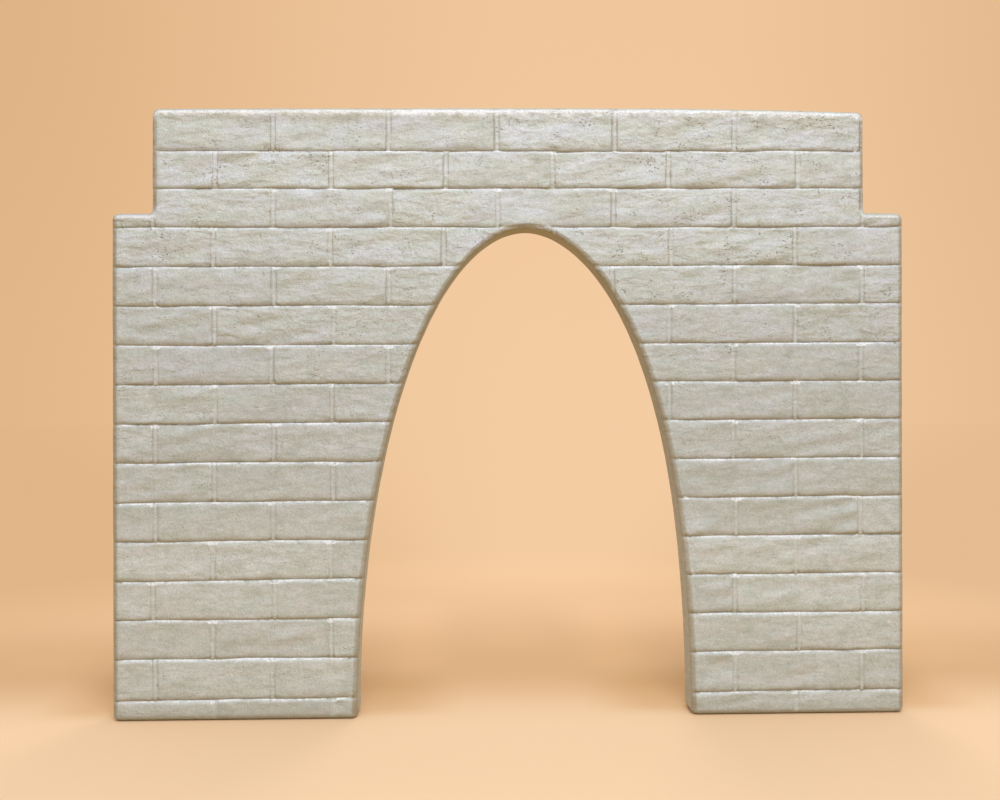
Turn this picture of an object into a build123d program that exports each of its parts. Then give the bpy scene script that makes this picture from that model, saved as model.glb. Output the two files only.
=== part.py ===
from build123d import *
import os

os.makedirs("parts", exist_ok=True)

# Overall size of the wall, in millimetres
wall_length = 1500.0
wall_height = 1155.5
wall_thickness = 70.0

# Top edge: a crest right of the middle, and a slight fall to both ends
crest_offset = 340.0
left_fall = 6.5
right_fall = 5.0
crest_flatness = 0.7

# Shoulders, where the wall is cut down at both ends
shoulder_width = 75.0
left_shoulder_height = 952.0
right_shoulder_height = 957.5

# Archway: it takes what the two legs leave, and it stands from the floor
left_leg_width = 458.0
right_leg_width = 410.5
arch_height = 924.0
crown_shift = 6.0
left_flank_fullness = 0.572
left_crown_fullness = 0.528
right_flank_fullness = 0.828
right_crown_fullness = 0.3

# Roundings: the arris along both faces, and the corners seen from the front
arris_radius = 12.0
top_corner_radius = 13.5
shoulder_corner_radius = 14.0
notch_radius = 6.0
foot_corner_radius = 14.0

# Places worked out from the sizes above, with X = 0 at the middle of the length
left_end = -wall_length / 2
right_end = wall_length / 2
block_left = left_end + shoulder_width
block_right = right_end - shoulder_width
arch_left = left_end + left_leg_width
arch_right = right_end - right_leg_width
crown_x = (arch_left + arch_right) / 2 + crown_shift
left_top_height = wall_height - left_fall
right_top_height = wall_height - right_fall


def top_slope(end_x, end_height):
    """Half of the top edge, level at the crest and falling to one end."""
    bend = (end_x + (crest_offset - end_x) * crest_flatness, wall_height)
    return Bezier((end_x, end_height), bend, (crest_offset, wall_height))


def outer_outline():
    """The wall's edge seen from the front: two ends, two shoulders and the top."""
    return [
        Polyline(
            (block_left, left_top_height),
            (block_left, left_shoulder_height),
            (left_end, left_shoulder_height),
            (left_end, 0.0),
            (right_end, 0.0),
            (right_end, right_shoulder_height),
            (block_right, right_shoulder_height),
            (block_right, right_top_height),
        ),
        top_slope(block_left, left_top_height),
        top_slope(block_right, right_top_height),
    ]


def arch_flank(foot_x, flank_fullness, crown_fullness):
    """One flank of the arch, upright at the floor and level at the crown."""
    return Bezier(
        (foot_x, 0.0),
        (foot_x, arch_height * flank_fullness),
        (crown_x + (foot_x - crown_x) * crown_fullness, arch_height),
        (crown_x, arch_height),
    )


def arch_outline():
    """The archway's edge: two flanks that meet at the crown, closed at the floor."""
    return [
        arch_flank(arch_left, left_flank_fullness, left_crown_fullness),
        arch_flank(arch_right, right_flank_fullness, right_crown_fullness),
        Line((arch_left, 0.0), (arch_right, 0.0)),
    ]


def slab():
    """The whole outline less the archway, as thick as the wall."""
    back = Plane.XZ.offset(-wall_thickness / 2)
    face = make_face(outer_outline()) - make_face(arch_outline())
    return extrude(back * face, wall_thickness)


def corner_edges(body, corners):
    """The edges through the thickness that stand on the given outline corners."""
    return [
        edge
        for edge in body.edges().filter_by(Axis.Y)
        for x, z in corners
        if (edge.center() - Vector(x, 0.0, z)).length < arris_radius
    ]


def round_corners(body):
    """Rounds the outline's corners, each kind by its own radius."""
    tops = [(block_left, left_top_height), (block_right, right_top_height)]
    shoulders = [(left_end, left_shoulder_height), (right_end, right_shoulder_height)]
    notches = [(block_left, left_shoulder_height), (block_right, right_shoulder_height)]
    feet = [(x, 0.0) for x in (left_end, arch_left, arch_right, right_end)]
    body = fillet(corner_edges(body, tops), top_corner_radius)
    body = fillet(corner_edges(body, shoulders), shoulder_corner_radius)
    body = fillet(corner_edges(body, notches), notch_radius)
    return fillet(corner_edges(body, feet), foot_corner_radius)


def round_arrises(body):
    """Softens the edge all round the front face and all round the back face."""
    faces = body.faces().sort_by(Axis.Y)
    return fillet(faces[0].edges() + faces[-1].edges(), arris_radius)


arched_wall = round_arrises(round_corners(slab()))
export_step(arched_wall, "parts/arched_wall.step")
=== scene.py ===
import math

import bpy
import numpy as np
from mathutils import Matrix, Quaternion, Vector, geometry, kdtree


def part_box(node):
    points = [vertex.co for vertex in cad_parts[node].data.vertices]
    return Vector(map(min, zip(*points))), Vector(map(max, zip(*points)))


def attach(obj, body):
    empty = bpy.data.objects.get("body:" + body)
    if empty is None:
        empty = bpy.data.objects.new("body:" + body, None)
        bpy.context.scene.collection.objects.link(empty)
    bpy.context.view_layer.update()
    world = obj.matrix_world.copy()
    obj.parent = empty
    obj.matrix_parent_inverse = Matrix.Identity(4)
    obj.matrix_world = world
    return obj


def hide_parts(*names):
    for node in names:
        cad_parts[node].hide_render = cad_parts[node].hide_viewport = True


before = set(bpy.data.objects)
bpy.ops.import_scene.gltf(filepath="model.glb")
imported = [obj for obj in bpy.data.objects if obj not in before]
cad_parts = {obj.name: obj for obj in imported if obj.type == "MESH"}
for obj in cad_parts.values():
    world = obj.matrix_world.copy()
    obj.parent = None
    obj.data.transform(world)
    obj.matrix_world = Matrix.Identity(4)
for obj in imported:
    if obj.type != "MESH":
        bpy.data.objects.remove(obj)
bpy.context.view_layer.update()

# Shapes are in millimetres until the mesh is written, X to the right and Z up, as seen from the front.
# A wave or a swell is its strength, its size and its seed. Heights, fades, turns and reaches in pairs
# are where something begins and where it ends
MM = 0.001
NODE = "arched_wall"

# Overall size, read from the part's box in model.glb
box_low, box_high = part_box(NODE)
LEFT_END = box_low[0] / MM
RIGHT_END = box_high[0] / MM
TOP = box_high[2] / MM
HALF_THICKNESS = box_high[1] / MM

# The outline, with the same sizes as the construction. A flank's fullness is at its foot and its crown
SHOULDER_WIDTH = 75.0
LEFT_SHOULDER = 952.0
RIGHT_SHOULDER = 957.5
CREST_OFFSET = 340.0
LEFT_FALL = 6.5
RIGHT_FALL = 5.0
CREST_FLATNESS = 0.7
LEFT_LEG = 458.0
RIGHT_LEG = 410.5
ARCH_HEIGHT = 924.0
CROWN_SHIFT = 6.0
LEFT_FULLNESS = (0.572, 0.528)
RIGHT_FULLNESS = (0.828, 0.3)
ARRIS = 12.0
TOP_CORNER = 13.5
SHOULDER_CORNER = 14.0
NOTCH_CORNER = 6.0
FOOT_CORNER = 14.0

# The courses: beds count from the top down and climb a little to the right. Every bed waves in a long and
# a short size, and its stretch of the noise lies apart from the other beds'
FIRST_BED = 1074.5
COURSE = 73.6
BED_COUNT = 15
BED_CLIMB = 0.005
END_BED_NUDGE = -3.0
BED_WAVE = 0.9
BED_LONG_SIZE = 90.0
BED_LONG_SEED = 11
BED_SHORT_SHARE = 0.35
BED_SHORT_SIZE = 24.0
BED_SHORT_SEED = 12
BED_WAVE_APART = 400.0
BED_FAR = 1e4
ODD_JOINTS = (-672.0, -450.0, -231.0, -25.0, 192.0, 424.0, 669.0)
EVEN_JOINTS = (-560.0, -340.0, -127.0, 77.0, 300.0, 544.0)
JOINT_JITTER = 3.5
JITTER_SEED = 100
JOINT_WAVE = (0.7, 26.0, 21)

# The beds, as depths behind the wall's flat face: a lip on top of each brick and an undercut below it.
# They fade out to the wall's edge and to the floor
BED_DEPTH = 5.0
LIP_HEIGHT = 5.2
LIP_CURVE = 1.35
UNDERCUT_DEPTH = 3.2
UNDERCUT_HEIGHT = 11.0
UNDERCUT_CURVE = 2
UNDERCUT_END_CURVE = 9
EDGE_WAVES = ((0.25, 48.0, 1), (0.22, 13.0, 8))
NOTCH = 0.75
NOTCH_WAVE = (0.5, 17.0, 10)
BRICK_CORNER = 7.0
FADE_END = 9.0
FADE_FLOOR = 0.35
FLOOR_FADE = 22.0

# The upright joints: two scored lines with a bead of mortar between them, which fills part of the bed
# that a joint runs into. The scores vary by their draws and a wave, and are shallower low down
JOINT_HALF = 4.6
JOINT_ROUND = 2.8
JOINT_CURVE = 1.4
SCORE_DEPTH = 2.7
SCORE_SHARE = 0.85
SCORE_DRAW = 0.35
SCORE_WAVE = (0.35, 15.0, 3)
SCORE_LEAST = 0.25
SCORE_LOW_SHARE = 0.75
SCORE_HEIGHTS = (300.0, 900.0)
BEAD_HALF = 2.4
BEAD_SOFT = 1.0
BEAD_DEPTH = 0.8
BEAD_DRAW = 0.6
BEAD_WAVE = (0.35, 9.0, 2)
BEAD_FOOT = 4.0
JOINT_FILL = 0.6
FILL_SPREAD = (3.0, 8.0)

# The bricks: each set back, tilted, swollen and folded by its own draws. The spare draw keeps the later
# ones in their order. The joints' mortar is seated between the bricks' mean depth and the plane
DRAW_NAMES = ("set_back", "tilt", "look", "left_score", "right_score", "spare", "bead", "place", "fold")
DRAW_SEED = 4
COURSE_KEY = 16
HALF_BRICK = 110.0
SET_BACK = 1.0
TILT = 0.6
FOLD = 9.2
FOLD_FLOOR = 0.7
FOLD_HEIGHTS = (850.0, 1050.0)
FOLD_SHARE = 0.65
FOLD_DRAW = 0.35
FOLD_SLOPE = 0.2
FOLD_SIZE = 17.0
FOLD_SEED = 5
FOLD_STRETCH = 4.5
FOLD_APART = 400.0
SWELLS = ((0.35, 75.0, 6), (0.2, 16.0, 7))
JOINT_SEAT = 0.4
SEAT_SHARE = 0.3
BODY_INSET = 1.5
BODY_REACH = 5.0
BODY_FADE = 30.0

# The faces roll away at the wall's outer ends
END_REACH = 22.0
END_ROLL = 2.2
SHOULDER_REACH = 14.0

# Tone is dirt and painted shade above 0, and wear and painted highlight below 0. First the dirt and
# painted shade under the beds and in the scores
SLOW_DIRT_AND_SHADE = 0.55
STEEP_DIRT_AND_SHADE = 0.45
STEEP_CURVE = 6
SCORE_DIRT_AND_SHADE = 0.5
SCORE_DIRT_AND_SHADE_RISE = 0.22
SCORE_DIRT_AND_SHADE_HEIGHTS = (700.0, 1050.0)
SCORE_WIDTH = 1.3

# Painted shade at the foot, a painted contact shadow at the floor, and painted shade at the outer ends
FOOT_SHADE = 0.5
FOOT_REACH = (5.0, 60.0)
CONTACT_SHADE = 0.5
CONTACT_REACH = (1.0, 4.0)
END_SHADE = 0.38
RIGHT_END_SHARE = 0.4
END_MARGIN = (0.1, 0.6)

# Wear and painted highlight on the bricks' upper edges and along the wall's top, and wear on the beads,
# which flare at the foot
CHIPPED = 0.75
CHIP_WAVE = (0.7, 6.0, 9)
LIP_WEAR_AND_HIGHLIGHT = (0.3, 0.7)
LIP_FADE = (9.0, 20.0)
FLARE = 0.22
FLARE_RISE = 0.4
FLARE_HEIGHT = 9.0
FLARE_SOFT = 7.0
CREST_BELOW_TOP = (30.0, 20.0)
CREST_FADE = (9.0, 19.0)

# Painted highlight, wear and painted shade round the arrises, by a turn that is 0 on the face and 1 on
# the return, and painted shade on the returns
TOP_WEAR_AND_HIGHLIGHT = 0.85
TOP_LIP = 0.3
TOP_TURN = (0.3, 0.65)
TOP_SHADE = 0.56
TOP_SHADE_TURN = (0.42, 0.8)
TOPWARD = 0.1
SIDE_SHADE = 0.58
SIDE_TURN = (0.0, 0.35)
SIDE_FLOOR = 0.2
SIDE_HEIGHTS = (0.0, 20.0)
OUTER_SIDE = 0.75
OUTER_SLACK = 1.0
RETURN_SHADE = 0.27
UNDERSIDE_SHADE = 0.35

# The returns and the arch's reveal lie a little inside the outline, by a long wave and a short one
RETURN_LONG_WAVE = (0.4, 160.0, 61)
RETURN_SHORT_WAVE = (0.25, 32.0, 62)

# The seeded noise: how many cells it has before it repeats, and how far each seed moves it
NOISE_CELLS = 97
NOISE_SHIFT = (0.31, 0.17)

# Sampling: how finely the faces and the outline are divided
OUTLINE_STEP = 6.5
FINE_STEP = 0.25
OUTLINE_GAP = 1.8
END_GAP = 1.0
BED_TURN = 0.4
JOINT_TURN = 0.6
JOINT_NEAR = 1.0
MESH_TOLERANCE = 1e-6
CURVE_POINTS = 2001
RUN_POINTS = 4001
CORNER_SEGMENTS = 6
ARRIS_SEGMENTS = 5
RETURN_SEGMENTS = 4
EDGE_MARGIN = 2.5
CROSSING_INSET = 8.0
BED_STEPS = (0.35, 1.3, 3.0, 5.5, 8.5)
JOINT_STEPS = (0.0, 3.0, 4.6, 6.2)
ABOVE_STEPS = (-7.0, -3.5, 0.0, 3.5, 7.0)
ABOVE_GAP = 1.5

# How far a face's rows lie above and below each bed and its columns beside each joint, and the step
# between them elsewhere
FRONT = {
    "above": (0.3, 0.8, 1.6, 3.2, 6.0, 10.5),
    "below": (0.3, 1.2, 2.4, 4.0, 6.0, 8.4),
    "joint": (0.0, 1.8, 3.2, 4.2, 5.0, 6.0, 7.6, 10.0),
    "step": 7.6,
}
BACK = {
    "above": (0.4, 1.4, 4.0, 9.0),
    "below": (0.4, 1.8, 4.0, 7.0),
    "joint": (0.0, 2.6, 4.4, 6.0, 9.0),
    "step": 12.5,
}
FRONT_SEED = 200
BACK_SEED = 300


# Small tools on arrays


def smooth(value, low, high):
    """0 below low, 1 above high and an even S between."""
    t = np.clip((value - low) / (high - low), 0.0, 1.0)
    return t * t * (3.0 - 2.0 * t)


def ease(share):
    """An S from 0 to 1 that is level and straight at both ends."""
    return share * share * share * (share * (share * 6.0 - 15.0) + 10.0)


def ripple(x, z, size, seed, stretch=1.0):
    """Smooth seeded noise between -1 and 1, with lumps of the given size, longer along x by stretch."""
    cells = NOISE_CELLS
    table = np.random.default_rng(seed).uniform(-1.0, 1.0, (cells, cells))
    u = np.asarray(x) / (size * stretch) + NOISE_SHIFT[0] * seed
    v = np.asarray(z) / size + NOISE_SHIFT[1] * seed
    column = np.floor(u).astype(int)
    row = np.floor(v).astype(int)
    fu = ease(u - column)
    fv = ease(v - row)
    near = table[column % cells, row % cells]
    right = table[(column + 1) % cells, row % cells]
    over = table[column % cells, (row + 1) % cells]
    far = table[(column + 1) % cells, (row + 1) % cells]
    return (near * (1 - fu) + right * fu) * (1 - fv) + (over * (1 - fu) + far * fu) * fv


def slanted(x, z, slope):
    """The same point along and across a direction that climbs by slope."""
    reach = math.hypot(1.0, slope)
    return (x + slope * z) / reach, (z - slope * x) / reach


def turned_left(vectors):
    return np.stack([-vectors[..., 1], vectors[..., 0]], -1)


def unit(vectors):
    return vectors / np.linalg.norm(vectors, axis=-1, keepdims=True)


def lengths_along(points):
    steps = np.hypot(*np.diff(points, axis=0).T)
    return np.concatenate([[0.0], np.cumsum(steps)])


def at_lengths(points, wanted):
    along = lengths_along(points)
    return np.stack([np.interp(wanted, along, points[:, i]) for i in (0, 1)], 1)


# The courses and their joints


def bed_heights(x):
    """Height of every bed over each x, top bed first: a row for each point."""
    beds = np.arange(BED_COUNT)
    level = FIRST_BED - COURSE * beds
    level[0] += END_BED_NUDGE
    level[-1] += END_BED_NUDGE
    x = np.asarray(x, float)
    waves = []
    for bed in beds:
        own = np.full_like(x, bed * BED_WAVE_APART)
        long = BED_WAVE * ripple(x, own, BED_LONG_SIZE, BED_LONG_SEED)
        short = BED_SHORT_SHARE * BED_WAVE * ripple(x, own, BED_SHORT_SIZE, BED_SHORT_SEED)
        waves.append(long + short)
    return level[None] + BED_CLIMB * x[:, None] + np.stack(waves, 1)


def course_joints(course):
    """Where the upright joints of a course stand, course 0 at the top."""
    places = np.array(ODD_JOINTS if course % 2 == 0 else EVEN_JOINTS)
    jitter = np.random.default_rng(JITTER_SEED + course).uniform(-1, 1, len(places))
    return places + JOINT_JITTER * jitter


def joint_wave(x, z):
    share, size, seed = JOINT_WAVE
    return share * ripple(x, z, size, seed)


def locate(x, z):
    """For each point its course, and its distances to the bed above it and to the bed under it."""
    beds = bed_heights(x)
    course = (z[:, None] < beds).sum(1)
    far = np.full((len(x), 1), BED_FAR)
    levels = np.concatenate([far, beds, -far], 1)
    rows = np.arange(len(x))
    return course, levels[rows, course] - z, z - levels[rows, course + 1]


def from_joints(x, z, course):
    """For each point its signed distance to the nearest upright joint of a course and that joint's
    number, then its brick's number and how far along the brick it is, 0 at the middle."""
    offset = np.zeros(len(x))
    number = np.zeros(len(x), int)
    brick = np.zeros(len(x), int)
    lean = np.zeros(len(x))
    shifted = x + joint_wave(x, z)
    for c in np.unique(course):
        here = course == c
        places = course_joints(c)
        offsets = shifted[here][:, None] - places[None]
        nearest = np.abs(offsets).argmin(1)
        offset[here] = offsets[np.arange(len(nearest)), nearest]
        number[here] = c * COURSE_KEY + nearest
        index = (offsets > 0).sum(1)
        brick[here] = c * COURSE_KEY + index
        between = (places[1:] + places[:-1]) / 2
        middle = np.concatenate([[places[0] - HALF_BRICK], between, [places[-1] + HALF_BRICK]])
        lean[here] = (x[here] - middle[index]) / HALF_BRICK
    return offset, number, brick, lean


# The relief


def closeness(distance, reach):
    """1 at an edge, falling to 0 where the brick's flat begins."""
    return np.clip(1.0 - distance / reach, 0.0, 1.0)


def corner_shares(beside, bed):
    """For points near a brick's rounded corner: which they are, their distance to the brick's edge there,
    and how far that edge is an upright one."""
    across = np.clip(BRICK_CORNER - beside, 0.0, None)
    along = np.clip(BRICK_CORNER - bed, 0.0, None)
    rounded = (across > 0) & (along > 0)
    inside = np.clip(BRICK_CORNER - np.hypot(across, along), 0.0, None)
    upright = across**2 / np.maximum(across**2 + along**2, 1e-9)
    return rounded, inside, upright


def end_margin(x, z):
    """1 at the wall's outer ends, falling to 0 where the faces turn flat."""
    gap = np.minimum(x - LEFT_END, RIGHT_END - x)
    shoulder = np.where(x < 0, LEFT_SHOULDER, RIGHT_SHOULDER)
    block = closeness(np.clip(gap - SHOULDER_WIDTH, 0.0, None), END_REACH)
    block = block * smooth(z - shoulder, 0.0, SHOULDER_REACH)
    return np.maximum(closeness(np.clip(gap, 0.0, None), END_REACH), block)


class Spots:
    """Points of a face, each with its course, its brick, its distances to the joints and its draws."""

    def __init__(self, x, z, from_edge, seed):
        self.x = x
        self.z = z
        self.from_edge = from_edge
        self.seed = seed
        self.course, self.below, self.above = locate(x, z)
        self.offset, self.number, self.brick, self.lean = from_joints(x, z, self.course)
        self.over_offset = from_joints(x, z, np.clip(self.course - 1, 0, None))[0]
        shape = (len(DRAW_NAMES), COURSE_KEY * (BED_COUNT + 2))
        draws = np.random.default_rng(seed + DRAW_SEED).uniform(-1, 1, shape)
        self.draws = dict(zip(DRAW_NAMES, draws))
        self.away = np.abs(self.offset)
        self.beside = np.clip(self.away - JOINT_HALF, 0.0, None)
        self.under_bed = self.below < self.above
        nearest_bed = np.minimum(self.below, self.above)
        self.rounded, self.inside, self.upright = corner_shares(self.beside, nearest_bed)
        self.fade = FADE_FLOOR + (1 - FADE_FLOOR) * smooth(from_edge, 0.0, FADE_END)
        self.margin = end_margin(x, z)

    def wave(self, share, size, seed):
        """Seeded unevenness up to a share either way, with lumps of the given size."""
        return share * ripple(self.x, self.z, size, self.seed + seed)

    def to_edge(self, distance):
        """A distance to a brick's straight edge, bent round its rounded corners."""
        return np.where(self.rounded, self.inside, distance)

    def from_draw(self, name):
        """Each point's draw of a name, by its brick."""
        return self.draws[name][self.brick]


def bed_edges(spots):
    """How close each point is to a brick's top and bottom edges, its undercut's depth and its notch."""
    uneven = 1.0 + spots.wave(*EDGE_WAVES[0]) + spots.wave(*EDGE_WAVES[1])
    lip = closeness(spots.to_edge(spots.below), LIP_HEIGHT * uneven)
    under = closeness(spots.to_edge(spots.above), UNDERCUT_HEIGHT * uneven)
    straight_under = closeness(spots.above, UNDERCUT_HEIGHT * uneven)
    top = np.where(spots.under_bed, lip, 0.0)
    bottom = np.where(spots.under_bed, 0.0, under)
    slow = UNDERCUT_DEPTH * np.where(spots.under_bed, 0.0, straight_under) ** UNDERCUT_CURVE
    return top, bottom, slow, NOTCH + spots.wave(*NOTCH_WAVE)


def score_depth(spots):
    """Depth of the scored lines, more on some bricks than on others and broken here and there."""
    left = spots.draws["left_score"][spots.number]
    right = spots.draws["right_score"][spots.number]
    drawn = np.where(spots.offset < 0, left, right)
    share = SCORE_SHARE + SCORE_DRAW * drawn + spots.wave(*SCORE_WAVE)
    rise = SCORE_LOW_SHARE + (1 - SCORE_LOW_SHARE) * smooth(spots.z, *SCORE_HEIGHTS)
    return SCORE_DEPTH * np.clip(share, SCORE_LEAST, None) * rise


def groove_depth(spots, edges, score, ridge):
    """Depth of the beds and the scores, and of the mortar that fills them."""
    top, bottom, slow, notch = edges
    steep = (BED_DEPTH - UNDERCUT_DEPTH) * bottom**UNDERCUT_END_CURVE * notch
    bed = BED_DEPTH * top**LIP_CURVE + steep
    side = score * closeness(spots.to_edge(spots.beside), JOINT_ROUND) ** JOINT_CURVE
    blended = bed * (1 - spots.upright) + side * spots.upright
    brick_depth = slow + np.where(spots.rounded, blended, np.maximum(bed, side))

    # The bead is flush enough to fill the bed at its foot
    crown = BEAD_DEPTH * (1.0 + BEAD_DRAW * spots.draws["bead"][spots.number]) + spots.wave(*BEAD_WAVE)
    foot = JOINT_FILL * smooth(BEAD_FOOT - spots.above, 0.0, BEAD_FOOT)
    bead = np.maximum(crown, BED_DEPTH * closeness(spots.below, LIP_HEIGHT) ** LIP_CURVE)
    bead = bead * (1 - foot) + BED_DEPTH * (1 - JOINT_FILL) * foot
    joined = bead * ridge + brick_depth * (1 - ridge)
    grooves = np.where(spots.away < JOINT_HALF, joined, brick_depth)
    fill = JOINT_FILL * (1 - smooth(np.abs(spots.over_offset), *FILL_SPREAD)) * (spots.course > 0)
    return grooves * np.where(spots.under_bed & (spots.below < LIP_HEIGHT), 1 - fill, 1.0)


def body_depth(spots):
    """How far the bricks' faces and the joints between them lie behind the plane."""
    own = FOLD_APART * spots.from_draw("place")
    along, across = slanted(spots.x + own, spots.z + own, FOLD_SLOPE)
    bulk = FOLD_FLOOR + (1 - FOLD_FLOOR) * smooth(spots.z, *FOLD_HEIGHTS)
    strength = bulk * (FOLD_SHARE + FOLD_DRAW * spots.from_draw("fold"))
    folded = ripple(along, across, FOLD_SIZE, spots.seed + FOLD_SEED, FOLD_STRETCH)
    fold = FOLD * strength * (0.5 + 0.5 * folded)
    swell = sum(share * (1 + spots.wave(1.0, size, seed)) for share, size, seed in SWELLS)
    set_back = SET_BACK * (0.5 + 0.5 * spots.from_draw("set_back"))
    tilt = TILT * spots.from_draw("tilt") * spots.lean
    on_brick = smooth(spots.away, JOINT_HALF - BODY_INSET, JOINT_HALF + BODY_REACH)
    seat = JOINT_SEAT + SEAT_SHARE * FOLD * bulk
    body = seat * (1 - on_brick) + (set_back + tilt + fold + swell) * on_brick
    return body * smooth(spots.from_edge, 0.0, BODY_FADE)


def dirt_and_shade_tone(spots, edges, score):
    """Dirt and painted shade under the beds and in the scores, and painted shade at the foot and at the
    outer ends.
    """
    bottom, slow, notch = edges[1:]
    # Dirt and painted shade under the beds and in the scored lines
    steep = np.where(spots.under_bed, 0.0, bottom**STEEP_CURVE)
    line = np.exp(-(((spots.away - JOINT_HALF) / SCORE_WIDTH) ** 2))
    scored = line * np.clip(score / SCORE_DEPTH, 0, 1)
    under = SLOW_DIRT_AND_SHADE * np.sqrt(slow / UNDERCUT_DEPTH) + STEEP_DIRT_AND_SHADE * steep * notch
    rise = SCORE_DIRT_AND_SHADE + SCORE_DIRT_AND_SHADE_RISE * smooth(spots.z, *SCORE_DIRT_AND_SHADE_HEIGHTS)
    # Painted shade at the outer ends and at the foot
    at_end = np.where(spots.x < 0, END_SHADE, RIGHT_END_SHARE * END_SHADE)
    dirt_and_shade = np.maximum(under, rise * scored) * spots.fade
    dirt_and_shade = np.maximum(dirt_and_shade, FOOT_SHADE * (1 - smooth(spots.z, *FOOT_REACH)))
    return np.maximum(dirt_and_shade, at_end * smooth(spots.margin, *END_MARGIN))


def wear_and_highlight_tone(spots, top, ridge):
    """Wear and painted highlight on the bricks' upper edges and along the wall's top, and wear on the
    beads.
    """
    chipped = np.clip(CHIPPED + spots.wave(*CHIP_WAVE), 0.0, None)
    # Wear and painted highlight on the bricks' upper edges
    worn_and_lit = smooth(top, *LIP_WEAR_AND_HIGHLIGHT) * chipped * smooth(spots.from_edge, *LIP_FADE)
    flare = FLARE + FLARE_RISE * smooth(FLARE_HEIGHT - spots.above, 0.0, FLARE_SOFT)
    worn_and_lit = np.maximum(worn_and_lit, flare * ridge * chipped)
    # A painted highlight along the wall's top
    near_top = smooth(spots.z, TOP - CREST_BELOW_TOP[0], TOP - CREST_BELOW_TOP[1])
    crest = near_top * (1 - smooth(spots.from_edge, *CREST_FADE))
    return np.maximum(worn_and_lit, crest * chipped)


def relief(x, z, from_edge, seed):
    """For each point of a face its depth behind the plane, its tone, and the draw of its brick's look."""
    spots = Spots(x, z, from_edge, seed)
    edges = bed_edges(spots)
    score = score_depth(spots)
    ridge = 1.0 - smooth(spots.away, BEAD_HALF - BEAD_SOFT, JOINT_HALF)
    grooves = groove_depth(spots, edges, score, ridge)
    roll = END_ROLL * spots.margin**2
    carved = np.clip(grooves * spots.fade + body_depth(spots), 0.0, None)
    depth = (carved + roll) * smooth(z, 0.0, FLOOR_FADE)
    # Dirt and painted shade raise the tone; wear and painted highlight lower it
    tone = dirt_and_shade_tone(spots, edges, score) - wear_and_highlight_tone(spots, edges[0], ridge)
    return depth, tone, spots.from_draw("look")


def edge_depth(x, z, y):
    """How far the plain returns and the arch's reveal lie inside the outline."""
    share, size, seed = RETURN_LONG_WAVE
    slow = share * (1 + ripple(x + z, z - x, size, seed))
    share, size, seed = RETURN_SHORT_WAVE
    fine = share * (1 + ripple(x + z, y * 2.0 + z - x, size, seed))
    return (slow + fine) * smooth(z, 0.0, FLOOR_FADE)


# The outline


def bezier(*controls):
    """Close points along a Bezier curve of any degree."""
    points = np.array(controls, float)
    t = np.linspace(0.0, 1.0, CURVE_POINTS)[:, None]
    layers = [np.repeat(p[None], len(t), 0) for p in points]
    while len(layers) > 1:
        layers = [a * (1 - t) + b * t for a, b in zip(layers, layers[1:])]
    return layers[0]


def straight(start, end):
    return np.array([start, end], float)


def wall_runs():
    """The outline's runs, anticlockwise from the left foot, each with the radius of the corner where it
    ends."""
    arch_left = LEFT_END + LEFT_LEG
    arch_right = RIGHT_END - RIGHT_LEG
    crown = (arch_left + arch_right) / 2 + CROWN_SHIFT
    block_left = LEFT_END + SHOULDER_WIDTH
    block_right = RIGHT_END - SHOULDER_WIDTH
    left_top = TOP - LEFT_FALL
    right_top = TOP - RIGHT_FALL

    def flank(foot, fullness):
        upright, level = fullness
        turn = crown + (foot - crown) * level
        controls = ((foot, 0), (foot, ARCH_HEIGHT * upright), (turn, ARCH_HEIGHT), (crown, ARCH_HEIGHT))
        return bezier(*controls)

    def slope(end, height):
        bend = end + (CREST_OFFSET - end) * CREST_FLATNESS
        return bezier((end, height), (bend, TOP), (CREST_OFFSET, TOP))

    left_flank = flank(arch_left, LEFT_FULLNESS)
    right_flank = flank(arch_right, RIGHT_FULLNESS)
    right_slope = slope(block_right, right_top)
    left_slope = slope(block_left, left_top)
    return [
        (straight((LEFT_END, 0), (arch_left, 0)), FOOT_CORNER),
        (np.vstack([left_flank, right_flank[-2::-1]]), FOOT_CORNER),
        (straight((arch_right, 0), (RIGHT_END, 0)), FOOT_CORNER),
        (straight((RIGHT_END, 0), (RIGHT_END, RIGHT_SHOULDER)), SHOULDER_CORNER),
        (straight((RIGHT_END, RIGHT_SHOULDER), (block_right, RIGHT_SHOULDER)), NOTCH_CORNER),
        (straight((block_right, RIGHT_SHOULDER), (block_right, right_top)), TOP_CORNER),
        (np.vstack([right_slope, left_slope[-2::-1]]), TOP_CORNER),
        (straight((block_left, left_top), (block_left, LEFT_SHOULDER)), NOTCH_CORNER),
        (straight((block_left, LEFT_SHOULDER), (LEFT_END, LEFT_SHOULDER)), SHOULDER_CORNER),
        (straight((LEFT_END, LEFT_SHOULDER), (LEFT_END, 0)), FOOT_CORNER),
    ]


def crossings(values):
    """Where a list of numbers changes from one entry to the next."""
    return np.flatnonzero(np.diff(values)) + 0.5


def around(place, steps):
    """The places at the given steps to both sides of one."""
    return [place + s for s in steps] + [place - s for s in steps]


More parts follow.
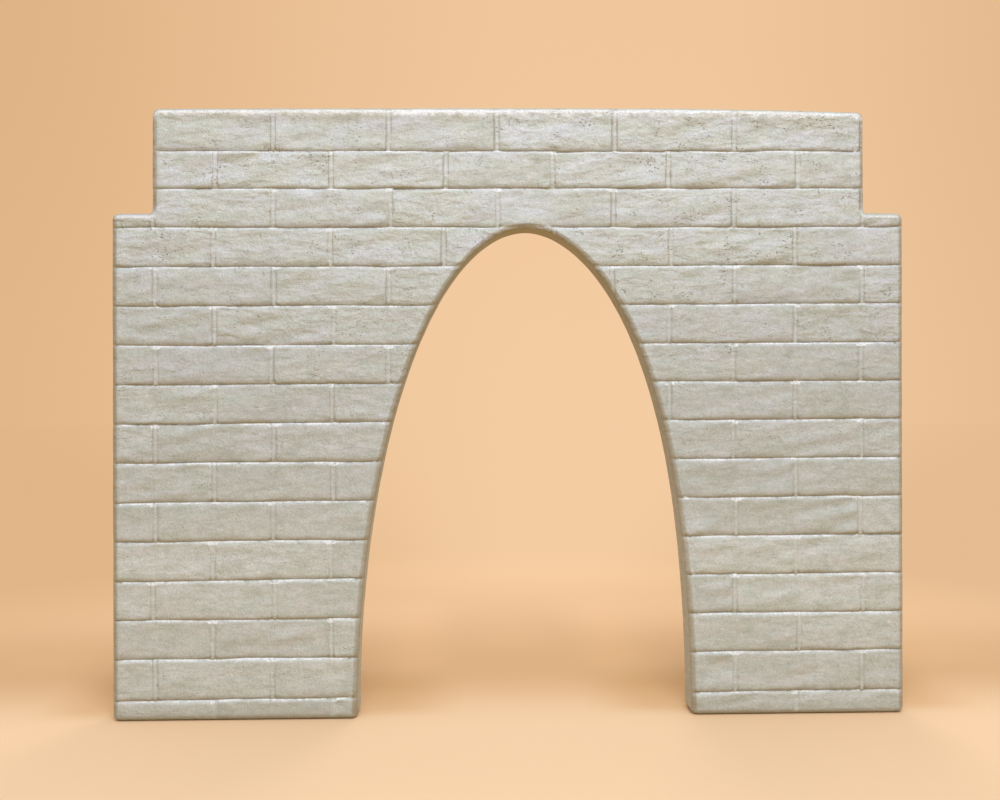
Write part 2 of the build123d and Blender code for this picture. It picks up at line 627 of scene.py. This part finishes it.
def run_lengths(run):
    """Lengths along a run where it is sampled: evenly, and closer together where it crosses a joint."""
    total = lengths_along(run)[-1]
    lengths = np.linspace(0, total, max(2, round(total / OUTLINE_STEP) + 1))
    fine = np.arange(0, total, FINE_STEP)
    points = at_lengths(run, fine)
    if points[:, 1].max() < FLOOR_FADE:
        return lengths
    ahead = unit(at_lengths(run, fine + 0.5) - at_lengths(run, fine - 0.5))
    points = points + turned_left(ahead) * CROSSING_INSET
    ahead = np.abs(ahead)
    course = locate(points[:, 0], points[:, 1])[0]
    offset = from_joints(points[:, 0], points[:, 1], course)[0]
    extra = []
    for spot in crossings(course):
        if ahead[int(spot), 1] > BED_TURN:
            extra.extend(around(spot * FINE_STEP, BED_STEPS))
    for spot in crossings(offset > 0):
        if ahead[int(spot), 0] > JOINT_TURN and abs(offset[int(spot)]) < JOINT_NEAR:
            extra.extend(around(spot * FINE_STEP, JOINT_STEPS))
    extra = np.unique([e for e in extra if END_GAP < e < total - END_GAP])
    if len(extra) == 0:
        return lengths
    clear = np.abs(lengths[:, None] - extra[None]).min(1) > OUTLINE_GAP
    clear[[0, -1]] = True
    return np.sort(np.concatenate([lengths[clear], extra]))


def wall_outline():
    """Points round the wall's edge with rounded corners, and at each the direction into the wall."""
    runs = wall_runs()
    points = []
    inward = []
    for i, (run, radius) in enumerate(runs):
        radius_before = runs[i - 1][1]
        following = runs[(i + 1) % len(runs)][0]
        along = lengths_along(run)[-1]
        # Every corner turns by about a right angle, so its tangent length is its radius
        kept = at_lengths(run, np.linspace(radius_before, along - radius, RUN_POINTS))
        lengths = run_lengths(kept)
        ahead = at_lengths(kept, lengths + 0.5) - at_lengths(kept, lengths - 0.5)
        points.append(at_lengths(kept, lengths))
        inward.append(turned_left(unit(ahead)))
        start = kept[-1]
        heading = unit(kept[-1] - kept[-2])
        after = at_lengths(following, [radius, radius + 1.0])
        next_heading = unit(after[1] - after[0])
        cross = heading[0] * next_heading[1] - heading[1] * next_heading[0]
        turn = math.atan2(cross, heading @ next_heading)
        side = math.copysign(1.0, turn)
        spoke = -turned_left(heading) * radius * side
        angles = np.linspace(0, turn, CORNER_SEGMENTS + 1)[1:-1, None]
        spokes = spoke * np.cos(angles) + turned_left(spoke) * np.sin(angles)
        points.append(start - spoke + spokes)
        inward.append(-unit(spokes) * side)
    return np.vstack(points), np.vstack(inward)


# The mesh


def spaced_columns(course, rows):
    """Distances along a course where it is sampled, close together round its joints."""
    offsets = np.unique(np.concatenate([rows["joint"], -np.array(rows["joint"])]))
    columns = [LEFT_END]
    for place in course_joints(course):
        near = place + offsets
        count = max(1, round((near[0] - columns[-1]) / rows["step"]))
        columns.extend(np.linspace(columns[-1], near[0], count + 1)[1:-1])
        columns.extend(near)
    count = max(1, round((RIGHT_END - columns[-1]) / rows["step"]))
    columns.extend(np.linspace(columns[-1], RIGHT_END, count + 1)[1:])
    return np.array(columns)


def with_joints_above(columns, course):
    """The same columns with more under the joints of the course above."""
    extra = np.array([place + s for place in course_joints(course - 1) for s in ABOVE_STEPS])
    clear = np.abs(columns[:, None] - extra[None]).min(1) > ABOVE_GAP
    return np.sort(np.concatenate([columns[clear], extra]))


def face_rows(rows):
    """The rows of points that cover a whole face, drawn together along every bed and upright joint."""
    x_fine = np.arange(LEFT_END, RIGHT_END + 1, 1.0)
    beds = bed_heights(x_fine)
    made = []
    for course in range(BED_COUNT + 1):
        upper = beds[:, course - 1] if course > 0 else np.full(len(x_fine), TOP)
        lower = beds[:, course] if course < BED_COUNT else np.zeros(len(x_fine))
        above = rows["above"] if course < BED_COUNT else (0.0,)
        below = rows["below"] if course > 0 else (0.0,)
        columns = spaced_columns(course, rows)
        top_columns = with_joints_above(columns, course) if course > 0 else columns

        def row(at, share, gap_above, gap_below):
            low = np.interp(at, x_fine, lower) + gap_above
            high = np.interp(at, x_fine, upper) - gap_below
            z = low + (high - low) * share
            made.append(np.stack([at - joint_wave(at, z), z], 1))

        for gap in above:
            row(columns, 0.0, gap, 0.0)
        body = float(np.median(upper - lower)) - above[-1] - below[-1]
        count = max(1, round(body / rows["step"]))
        for share in np.linspace(0, 1, count + 1)[1:-1]:
            row(columns, share, above[-1], below[-1])
        for gap in reversed(below):
            row(top_columns if gap < LIP_HEIGHT else columns, 1.0, 0.0, gap)
    return made


def edge_finder(outline):
    tree = kdtree.KDTree(len(outline))
    for i, (x, z) in enumerate(outline):
        tree.insert((x, z, 0.0), i)
    tree.balance()
    return tree


def from_outline(points, outline, inward, tree):
    """Distance of each point from the outline, and -1 outside the wall."""
    found = [tree.find((x, z, 0.0)) for x, z in points]
    index = np.array([f[1] for f in found])
    across = ((points - outline[index]) * inward[index]).sum(1)
    return np.where(across > 0, np.abs(across), -1.0)


def inside_ring(triangles, count):
    """Which triangles lie inside the closed ring of the first count points. It spreads from those that
    touch a point inside, over every edge that isn't the ring's."""
    pairs = np.sort(np.stack([triangles, np.roll(triangles, -1, 1)], -1), -1)
    low, high = pairs[..., 0], pairs[..., 1]
    on_ring = (high < count) & ((high - low == 1) | (high - low == count - 1))
    names = np.where(on_ring, -1, low * (triangles.max() + 1) + high)
    inside = (triangles >= count).any(1)
    while True:
        reached = np.isin(names, names[inside]) & ~on_ring
        grown = inside | reached.any(1)
        if (grown == inside).all():
            return inside
        inside = grown


def face_mesh(rows, outline, inward, tree):
    """The points inside one face, how far each is from the edge, and its triangles. In these the ring of
    points where the face meets the arris is counted first."""
    ring = outline + inward * ARRIS
    count = len(ring)
    samples = []
    distances = []
    edges = [(i, (i + 1) % count) for i in range(count)]
    used = count
    for row in face_rows(rows):
        distance = from_outline(row, outline, inward, tree)
        kept = distance > ARRIS + EDGE_MARGIN
        index = used + np.cumsum(kept) - 1
        joined = kept[1:] & kept[:-1]
        edges.extend(zip(index[:-1][joined].tolist(), index[1:][joined].tolist()))
        samples.append(row[kept])
        distances.append(distance[kept])
        used += int(kept.sum())
    points = np.vstack([ring] + samples)
    out = geometry.delaunay_2d_cdt([Vector(p) for p in points], edges, [], 0, MESH_TOLERANCE)
    origin = [o[0] if o else -1 for o in out[3]]
    if -1 in origin or len(origin) != len(points):
        raise RuntimeError("the rows of the face cross each other")
    triangles = np.array([[origin[i] for i in t] for t in out[2]])
    return points[count:], np.concatenate(distances), triangles[inside_ring(triangles, count)]


def arris_tone(tone, angle, upward, sidelong, heights):
    """The face's tone carried round an arris: wear and painted highlight at the top lip, painted shade
    past it and on the sides, and a painted contact shadow at the floor.
    """
    turn = np.array(math.sin(angle))
    # Wear and painted highlight on the top lip, and painted shade past it where the top faces up
    lip = TOP_WEAR_AND_HIGHLIGHT * float(smooth(turn, 0.0, TOP_LIP) - smooth(turn, *TOP_TURN))
    shade = TOP_SHADE * float(smooth(turn, *TOP_SHADE_TURN))
    share = 1 - float(smooth(turn, *TOP_TURN))
    on_top = np.minimum(tone, 0) * share + (shade - lip) * upward
    tone = np.where(upward > TOPWARD, on_top, tone * math.cos(angle))
    # Painted shade on the arrises that look sideways or down
    tone = tone + SIDE_SHADE * sidelong * float(smooth(turn, *SIDE_TURN))
    # A painted contact shadow where the wall meets the floor
    return tone + CONTACT_SHADE * (1 - smooth(heights, *CONTACT_REACH))


def side_shares(outline, inward):
    """How far each point of the outline looks sideways or down, which sets its painted shade: less near
    the floor and at the ends.
    """
    sidelong = np.clip(1.0 + inward[:, 1], 0.0, 1.0)
    sidelong = sidelong * (SIDE_FLOOR + (1 - SIDE_FLOOR) * smooth(outline[:, 1], *SIDE_HEIGHTS))
    outer = np.abs(outline[:, 0]) > RIGHT_END - SHOULDER_WIDTH - OUTER_SLACK
    return np.where(outer, OUTER_SIDE, 1.0) * sidelong


def rings(outline, inward):
    """Closed rings from the front arris over the return to the back arris, with their tones and draws."""
    flat = HALF_THICKNESS - ARRIS
    centre = outline + inward * ARRIS
    upward = np.clip(-inward[:, 1], 0.0, 1.0)
    sidelong = side_shares(outline, inward)
    made = []

    def arris_ring(angle, face, seed):
        sin, cos = math.sin(angle), math.cos(angle)
        at = centre - inward * ARRIS * sin
        from_edge = np.full(len(at), ARRIS * (1 - sin))
        depth, tone, draw = relief(at[:, 0], at[:, 1], from_edge, seed)
        side = edge_depth(at[:, 0], at[:, 1], face * flat)
        radius = ARRIS - depth * cos * cos - side * sin * sin
        placed = centre - inward * radius[:, None] * sin
        tone = arris_tone(tone, angle, upward, sidelong, placed[:, 1])
        made.append((placed, face * (flat + radius * cos), tone, draw))

    def return_ring(share):
        y = -flat + 2 * flat * share
        side = edge_depth(outline[:, 0], outline[:, 1], y)
        # The returns' tone is painted shade: on the sides, more where they look down, and on the top
        under = UNDERSIDE_SHADE * np.clip(inward[:, 1], 0.0, 1.0)
        tone = RETURN_SHADE * sidelong + under + TOP_SHADE * upward
        every = np.ones(len(outline))
        made.append((outline + inward * side[:, None], y * every, tone, 0.0 * every))

    steps = [k / ARRIS_SEGMENTS * math.pi / 2 for k in range(ARRIS_SEGMENTS)]
    for angle in steps:
        arris_ring(angle, -1.0, FRONT_SEED)
    for k in range(RETURN_SEGMENTS + 1):
        return_ring(k / RETURN_SEGMENTS)
    for angle in reversed(steps):
        arris_ring(angle, 1.0, BACK_SEED)
    shells = [np.column_stack([placed[:, 0], y, placed[:, 1]]) for placed, y, _, _ in made]
    return np.array(shells), np.array([m[2] for m in made]), np.array([m[3] for m in made])


def write_attribute(mesh, name, values):
    layer = mesh.attributes.new(name, "FLOAT", "POINT")
    layer.data.foreach_set("value", np.concatenate(values).astype(np.float32))


def build_wall():
    """The whole wall as one closed mesh: two faces in relief, joined by the arrises and the returns."""
    outline, inward = wall_outline()
    tree = edge_finder(outline)
    shells, shell_tones, shell_draws = rings(outline, inward)
    count = len(outline)
    vertices = [shells.reshape(-1, 3)]
    tones = [shell_tones.reshape(-1)]
    draws = [shell_draws.reshape(-1)]
    faces = []
    for k in range(len(shells) - 1):
        here = k * count + np.arange(count)
        there = k * count + np.roll(np.arange(count), -1)
        faces.extend(np.column_stack([here, here + count, there + count, there]).tolist())
    used = len(vertices[0])
    last_ring = (len(shells) - 1) * count
    sides = ((-1.0, FRONT, FRONT_SEED, 0), (1.0, BACK, BACK_SEED, last_ring))
    for face, rows, seed, first in sides:
        samples, distance, triangles = face_mesh(rows, outline, inward, tree)
        depth, tone, draw = relief(samples[:, 0], samples[:, 1], distance, seed)
        y = face * (HALF_THICKNESS - depth)
        vertices.append(np.column_stack([samples[:, 0], y, samples[:, 1]]))
        tones.append(tone)
        draws.append(draw)
        index = np.where(triangles < count, triangles + first, triangles - count + used)
        order = (0, 1, 2) if face < 0 else (0, 2, 1)
        faces.extend(index[:, order].tolist())
        used += len(samples)
    mesh = bpy.data.meshes.new("castle_wall")
    mesh.from_pydata((np.vstack(vertices) * MM).tolist(), [], faces)
    mesh.polygons.foreach_set("use_smooth", np.ones(len(mesh.polygons), bool))
    write_attribute(mesh, "joint_tone", tones)
    write_attribute(mesh, "brick_draw", draws)
    mesh.update()
    wall = bpy.data.objects.new("castle_wall", mesh)
    bpy.context.scene.collection.objects.link(wall)
    return wall


# Materials


def srgb(red, green, blue, scale=1.0):
    """A colour given in 0 to 255 screen values, as the shader wants it."""
    parts = [c / 255 for c in (red, green, blue)]
    linear = [p / 12.92 if p <= 0.04045 else ((p + 0.055) / 1.055) ** 2.4 for p in parts]
    return (*[scale * p for p in linear], 1.0)


class Nodes:
    """Short calls that add and link the nodes of one material or of the world."""

    def __init__(self, tree):
        self.tree = tree

    def put(self, node, **inputs):
        """Set or link inputs by name, with _ for a space."""
        for name, value in inputs.items():
            self.feed(node.inputs[name.replace("_", " ")], value)
        return node

    def feed(self, socket, value):
        if isinstance(value, bpy.types.NodeSocket):
            self.tree.links.new(value, socket)
        else:
            socket.default_value = value

    def add(self, kind, **inputs):
        return self.put(self.tree.nodes.new("ShaderNode" + kind), **inputs)

    def noise(self, vector, scale, detail=2.0, rough=0.5, distortion=0.0):
        node = self.add("TexNoise", Vector=vector, Scale=scale, Detail=detail, Roughness=rough)
        return self.put(node, Distortion=distortion).outputs["Fac"]

    def ramp(self, value, low, high, start=0.0, end=1.0):
        node = self.add("MapRange", Value=value, From_Min=low, From_Max=high, To_Min=start, To_Max=end)
        node.interpolation_type = "SMOOTHSTEP"
        return node.outputs["Result"]

    def math(self, operation, first, second=0.0):
        node = self.add("Math")
        node.operation = operation
        self.feed(node.inputs[0], first)
        self.feed(node.inputs[1], second)
        return node.outputs[0]

    def mix(self, share, first, second, blend="MIX"):
        node = self.add("Mix")
        node.data_type = "RGBA"
        node.blend_type = blend
        self.feed(node.inputs["Factor"], share)
        self.feed(node.inputs[6], first)
        self.feed(node.inputs[7], second)
        return node.outputs[2]

    def bump(self, height, strength, distance, normal=None):
        node = self.add("Bump", Height=height, Strength=strength, Distance=distance)
        if normal is not None:
            self.put(node, Normal=normal)
        return node.outputs["Normal"]

    def seen(self):
        """1 for what the camera sees, directly or in a surface, and 0 for the light on other things."""
        path = self.add("LightPath").outputs
        mirrored = self.math("MAXIMUM", path["Is Glossy Ray"], path["Is Transmission Ray"])
        return self.math("MAXIMUM", path["Is Camera Ray"], mirrored)

    def attribute(self, name):
        node = self.add("Attribute")
        node.attribute_name = name
        return node.outputs["Fac"]


def new_material(name):
    material = bpy.data.materials.new(name)
    material.use_nodes = True
    return material, Nodes(material.node_tree), material.node_tree.nodes["Principled BSDF"]


# The coat, with heights on the wall in metres. A noise is its scale, detail, roughness and distortion.
# A ramp is the values it runs from and to, and what it gives there where that isn't 0 and 1
COAT_LOW = srgb(206, 206, 202)
COAT_HIGH = srgb(204, 207, 212)
COAT_CLOUD = srgb(201, 204, 199)
COAT_PATCH = srgb(186, 193, 184)
# The pits' colour is painted shade
PIT_SHADE_COLOUR = srgb(136, 128, 104)
# The dark tone's colour serves dirt and painted shade, the pale tone's wear and painted highlight
DIRT_AND_SHADE_COLOUR = srgb(152, 136, 104)
WEAR_AND_HIGHLIGHT_COLOUR = srgb(241, 243, 246)
SPECK_COLOUR = srgb(232, 232, 230)
STRETCH = (1.0, 1.0, 2.6)
STRETCH_TURN = (0.0, 0.2, 0.0)
PIT_STRETCH = (1.0, 1.0, 1.5)
CLOUD_NOISE = (9.0, 3.0, 0.6, 0.5)
PATCH_NOISE = (24.0, 3.0, 0.6, 0.4)
BARE_NOISE = (28.0, 2.0)
GRAIN_NOISE = (260.0, 3.0, 0.6, 0.8)
LUMP_NOISE = (80.0, 2.0, 0.45, 0.4)
SPECK_NOISE = (430.0, 2.0, 0.65)
ROLL_NOISE = (30.0, 1.0, 0.4, 0.3)
PIT_SCALE = 150.0
COAT_HEIGHTS = (0.0, 1.1)
CLOUD_RAMP = (0.36, 0.64)
PATCH_RAMP = (0.42, 0.66)
BARE_RAMP = (0.64, 0.54)
PIT_RAMP = (0.08, 0.32)
BRICK_TONES = (-1.0, 1.0, 0.965, 1.04)
DULL_HEIGHTS = (0.28, 0.48, 1.0, 0.92)
PALE_HEIGHTS = (0.65, 1.05, 1.0, 1.13)
ROUGH_BRICKS = (-0.9, 0.9, 0.65, 1.0)
ROUGH_HEIGHTS = (0.2, 1.1, 0.6, 1.25)
LUMP_TONES = (0.3, 0.7, 0.955, 1.035)
GRAIN_TONES = (0.3, 0.7, 0.91, 1.07)
SPECK_TONES = (0.3, 0.7, 0.91, 1.08)
DIRT_AND_SHADE_RAMP = (0.04, 0.95, 0.0, 0.78)
WEAR_AND_HIGHLIGHT_RAMP = (0.0, -0.8, 0.0, 0.95)
CHIP_RAMP = (0.36, 0.54, 0.3, 1.0)
PALE_SPECKS = (0.62, 0.76, 0.0, 0.3)
ROUGHNESS = (0.25, 0.75, 0.45, 0.62)
PATCH_SHARE = 0.6
PIT_SHARE = 0.65
ROLL_BUMP = 0.0036
LUMP_BUMP = 0.0011
GRAIN_BUMP = 0.0016
SPECK_BUMP = 0.0006
PIT_BUMP = 0.0013


def coat_colour(n, height, draw, stretched):
    """Clouds and patches, cooler to the top, with each brick's own tone. The colour is a little darker at
    mid height, and lightest in the top courses."""
    cloud = n.ramp(n.noise(stretched, *CLOUD_NOISE), *CLOUD_RAMP)
    patch = n.ramp(n.noise(stretched, *PATCH_NOISE), *PATCH_RAMP)
    colour = n.mix(n.ramp(height, *COAT_HEIGHTS), COAT_LOW, COAT_HIGH)
    colour = n.mix(cloud, colour, COAT_CLOUD)
    colour = n.mix(n.math("MULTIPLY", patch, PATCH_SHARE), colour, COAT_PATCH)
    colour = n.mix(1.0, colour, n.ramp(draw, *BRICK_TONES), "MULTIPLY")
    dull = n.math("MULTIPLY", n.ramp(height, *DULL_HEIGHTS), n.ramp(height, *PALE_HEIGHTS))
    return n.mix(1.0, colour, dull, "MULTIPLY")


def coat_pits(n, place):
    """0 in small pits that gather in patches, and 1 elsewhere."""
    flat_place = n.add("Mapping", Vector=place, Scale=PIT_STRETCH).outputs[0]
    pits = n.add("TexVoronoi", Vector=flat_place, Scale=PIT_SCALE)
    bare = n.ramp(n.noise(place, *BARE_NOISE), *BARE_RAMP)
    return n.math("MAXIMUM", n.ramp(pits.outputs["Distance"], *PIT_RAMP), bare)


def stone_coat():
    """Pale warm-grey sandy stone-effect coat with a slight sheen: mottling, fine grain and small pits."""
    material, n, shader = new_material("moulded_stone")
    place = n.add("TexCoord").outputs["Object"]
    tone = n.attribute("joint_tone")
    draw = n.attribute("brick_draw")
    height = n.add("SeparateXYZ", Vector=place).outputs["Z"]
    stretched = n.add("Mapping", Vector=place, Scale=STRETCH, Rotation=STRETCH_TURN).outputs[0]
    colour = coat_colour(n, height, draw, stretched)
    pit = coat_pits(n, place)

    # Some bricks are rougher than others, and the upper courses more than the lower
    coarse = n.math("MULTIPLY", n.ramp(draw, *ROUGH_BRICKS), n.ramp(height, *ROUGH_HEIGHTS))
    grain = n.noise(place, *GRAIN_NOISE)
    lumps = n.noise(place, *LUMP_NOISE)
    speck = n.noise(place, *SPECK_NOISE)
    for form, tones in ((lumps, LUMP_TONES), (grain, GRAIN_TONES), (speck, SPECK_TONES)):
        colour = n.mix(1.0, colour, n.ramp(form, *tones), "MULTIPLY")
    # The pits are darkened in colour as painted shade
    pit_shade = n.math("MULTIPLY", n.math("SUBTRACT", 1.0, pit), n.math("MULTIPLY", coarse, PIT_SHARE))
    colour = n.mix(pit_shade, colour, PIT_SHADE_COLOUR)
    # Dirt and painted shade darken the coat where the tone is above 0
    colour = n.mix(n.ramp(tone, *DIRT_AND_SHADE_RAMP), colour, DIRT_AND_SHADE_COLOUR)
    # Wear and painted highlight pale it where the tone is below 0
    wear_and_highlight = n.math("MULTIPLY", n.ramp(tone, *WEAR_AND_HIGHLIGHT_RAMP), n.ramp(grain, *CHIP_RAMP))
    colour = n.mix(wear_and_highlight, colour, WEAR_AND_HIGHLIGHT_COLOUR)
    colour = n.mix(n.ramp(speck, *PALE_SPECKS), colour, SPECK_COLOUR)
    n.put(shader, Base_Color=colour, Specular_IOR_Level=0.5)
    n.put(shader, Roughness=n.ramp(speck, *ROUGHNESS))

    normal = n.bump(n.noise(stretched, *ROLL_NOISE), coarse, ROLL_BUMP)
    bumps = ((lumps, LUMP_BUMP), (grain, GRAIN_BUMP), (speck, SPECK_BUMP), (pit, PIT_BUMP))
    for form, distance in bumps:
        normal = n.bump(form, coarse, distance, normal)
    n.put(shader, Normal=normal)
    return material


# The stage, the lights and the camera, in metres

WHITE = (1.0, 1.0, 1.0, 1.0)

# The far paper, by direction: 0 is straight on and level
FAR_COLOUR = srgb(240, 199, 157)
FAR_LEFT = srgb(221, 178, 132)
FAR_RIGHT = srgb(226, 184, 141)
LEFT_TURN = (-0.5, 0.08)
RIGHT_TURN = (0.2, 0.56)
HORIZON_GAIN = (1.04, 1.06, 1.08, 1.0)
HORIZON_FADE = (0.38, 0.0)

# The floor's colours and where each begins and ends, across and from front to back
FLOOR_NEAR = srgb(238, 203, 164)
FLOOR_WIDE = srgb(244, 207, 167)
FLOOR_SHADED = srgb(219, 176, 131)
FLOOR_BEHIND = srgb(247, 203, 158)
FLOOR_BOUNCE = (0.54, 0.35, 0.12, 1.0)
WIDE_FROM_TO = (0.3, 0.95)
SHADED_FROM_TO = (-0.11, 0.3)
BEHIND_FROM_TO = (0.35, 1.0)
FLOOR_RADIUS = 25.0
FLOOR_SPOKES = 96
PLAIN_FROM_TO = (0.8, 2.2)

# The shade round the legs: one band close behind them and one farther back
ARCH_MIDDLE = 0.024
ARCH_HALF = 0.316
LEG_NEAR = (0.88, 0.82, 0.73, 1.0)
LEG_FAR = (1.12, 1.12, 1.12, 1.0)
ARCH_CLEAR = (0.22, 0.05)
NEAR_BEGINS = (-0.04, 0.04)
NEAR_ENDS = (0.34, 0.16)
NEAR_BEYOND = (0.2, 0.04)
FAR_BEGINS = (0.24, 0.44)
FAR_ENDS = (1.3, 0.7)
FAR_BEYOND = (0.5, 0.1)

# The light that the world gives the object, by direction
SIDES_FROM_TO = (-0.85, -0.1)
SIDES_BELOW = (0.85, 0.3)
BACK_FROM_TO = (0.0, 0.6)
FRONT_LIGHT = srgb(246, 250, 255, 0.88)
SIDE_LIGHT = srgb(232, 190, 144, 0.32)
BACK_LIGHT = srgb(238, 214, 188, 0.55)

# Where the lamps aim, and the camera, with its angles in degrees and its lens in millimetres
LIGHT_TARGET = (0.0, 0.0, 0.6)
CAMERA_PLACE = (-0.0795, -1.8868, 0.6001)
CAMERA_YAW = -1.713
CAMERA_ROLL = -0.117
SENSOR_WIDTH = 36.0
LENS = 36.0


def paper_tone(n, sideways):
    """The far paper's colour: palest right of the middle, and duller to both sides."""
    left = n.mix(n.ramp(sideways, *LEFT_TURN), FAR_LEFT, FAR_COLOUR)
    return n.mix(n.ramp(sideways, *RIGHT_TURN), left, FAR_RIGHT)


def leg_shade(n, axes):
    """The paper's shade round the legs: darkest close behind them and lighter farther back."""
    from_middle = n.math("ABSOLUTE", n.math("SUBTRACT", axes["X"], ARCH_MIDDLE))
    in_arch = n.math("SUBTRACT", ARCH_HALF, from_middle)
    beyond_ends = n.math("SUBTRACT", n.math("ABSOLUTE", axes["X"]), RIGHT_END * MM)
    by_arch = n.ramp(in_arch, *ARCH_CLEAR)

    def band(begins, ends, beyond):
        depth = n.math("MULTIPLY", n.ramp(axes["Y"], *begins), n.ramp(axes["Y"], *ends))
        return n.math("MULTIPLY", depth, n.math("MULTIPLY", by_arch, n.ramp(beyond_ends, *beyond)))

    shade = n.mix(band(NEAR_BEGINS, NEAR_ENDS, NEAR_BEYOND), WHITE, LEG_NEAR)
    return n.mix(band(FAR_BEGINS, FAR_ENDS, FAR_BEYOND), shade, LEG_FAR)


def floor_paper():
    """Pale peach paper, shaded behind the wall, that fades into the backdrop and bounces less than it
    shows."""
    material, n, shader = new_material("floor_paper")
    seen = n.seen()
    spot = n.add("NewGeometry").outputs["Position"]
    axes = n.add("SeparateXYZ", Vector=spot).outputs
    front = n.mix(n.ramp(n.math("ABSOLUTE", axes["X"]), *WIDE_FROM_TO), FLOOR_NEAR, FLOOR_WIDE)
    shown = n.mix(n.ramp(axes["Y"], *SHADED_FROM_TO), front, FLOOR_SHADED)
    shown = n.mix(n.ramp(axes["Y"], *BEHIND_FROM_TO), shown, FLOOR_BEHIND)
    shown = n.mix(1.0, shown, leg_shade(n, axes), "MULTIPLY")
    colour = n.mix(seen, FLOOR_BOUNCE, shown)
    n.put(shader, Base_Color=colour, Roughness=0.95, Specular_IOR_Level=0.0)
    radius = n.add("VectorMath")
    radius.operation = "LENGTH"
    n.feed(radius.inputs[0], spot)
    away = radius.outputs["Value"]
    far = n.mix(1.0, paper_tone(n, n.math("DIVIDE", axes["X"], away)), HORIZON_GAIN, "MULTIPLY")
    glow = n.add("Emission", Color=far, Strength=1.0).outputs[0]
    both = n.add("MixShader")
    n.feed(both.inputs[0], n.math("MULTIPLY", n.ramp(away, *PLAIN_FROM_TO), seen))
    n.feed(both.inputs[1], shader.outputs[0])
    n.feed(both.inputs[2], glow)
    n.feed(material.node_tree.nodes["Material Output"].inputs["Surface"], both.outputs[0])
    return material


def make_floor():
    """A round floor, wide enough that its edge is lost in the backdrop."""
    angles = [s / FLOOR_SPOKES * 2 * math.pi for s in range(FLOOR_SPOKES)]
    vertices = [(FLOOR_RADIUS * math.cos(a), FLOOR_RADIUS * math.sin(a), 0.0) for a in angles]
    mesh = bpy.data.meshes.new("floor")
    mesh.from_pydata(vertices, [], [tuple(range(FLOOR_SPOKES))])
    floor = bpy.data.objects.new("floor", mesh)
    bpy.context.scene.collection.objects.link(floor)
    mesh.materials.append(floor_paper())
    return floor


def make_world():
    """A soft backdrop for the camera. For the object it gives neutral light from the front and the top,
    and dimmer, warm light from the sides and the back."""
    world = bpy.data.worlds.new("studio")
    world.use_nodes = True
    n = Nodes(world.node_tree)
    seen = n.seen()
    axes = n.add("SeparateXYZ", Vector=n.add("TexCoord").outputs["Generated"]).outputs
    beside = n.math("MULTIPLY", n.ramp(axes["Y"], *SIDES_FROM_TO), n.ramp(axes["Z"], *SIDES_BELOW))
    warm = n.mix(n.ramp(axes["Y"], *BACK_FROM_TO), SIDE_LIGHT, BACK_LIGHT)
    light = n.mix(beside, FRONT_LIGHT, warm)
    shade = world.node_tree.nodes["Background"]
    gain = n.mix(n.ramp(axes["Z"], *HORIZON_FADE), WHITE, HORIZON_GAIN)
    backdrop = n.mix(1.0, paper_tone(n, axes["X"]), gain, "MULTIPLY")
    n.put(shade, Color=n.mix(seen, light, backdrop), Strength=1.0)
    bpy.context.scene.world = world


def area_light(name, place, size, power, colour=(1.0, 1.0, 1.0)):
    """A round lamp that faces the middle of the wall."""
    data = bpy.data.lights.new(name, "AREA")
    data.shape = "DISK"
    data.color = colour
    data.size = size
    data.energy = power
    light = bpy.data.objects.new(name, data)
    light.location = place
    light.rotation_euler = (Vector(LIGHT_TARGET) - Vector(place)).to_track_quat("-Z", "Y").to_euler()
    bpy.context.scene.collection.objects.link(light)


def make_camera():
    """The photograph's view: level, a little left of the middle and turned slightly to the right."""
    data = bpy.data.cameras.new("camera")
    data.sensor_width = SENSOR_WIDTH
    data.lens = LENS
    camera = bpy.data.objects.new("camera", data)
    across, back, up = CAMERA_PLACE
    camera.location = (across, back - HALF_THICKNESS * MM, up)
    yaw = Quaternion((0, 0, 1), math.radians(CAMERA_YAW))
    pitch = Quaternion((1, 0, 0), math.radians(90.0))
    roll = Quaternion((0, 0, 1), math.radians(CAMERA_ROLL))
    camera.rotation_mode = "QUATERNION"
    camera.rotation_quaternion = yaw @ pitch @ roll
    bpy.context.scene.collection.objects.link(camera)
    bpy.context.scene.camera = camera


wall = build_wall()
wall.data.materials.append(stone_coat())
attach(wall, "root")
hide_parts(NODE)

make_floor()
area_light("key", place=(0.1, -2.3, 3.0), size=1.7, power=60.0, colour=(0.96, 1.0, 1.05))
area_light("back_fill", place=(0.6, 3.0, 1.9), size=1.8, power=24.0)
make_world()
make_camera()
bpy.context.scene.view_settings.view_transform = "Standard"
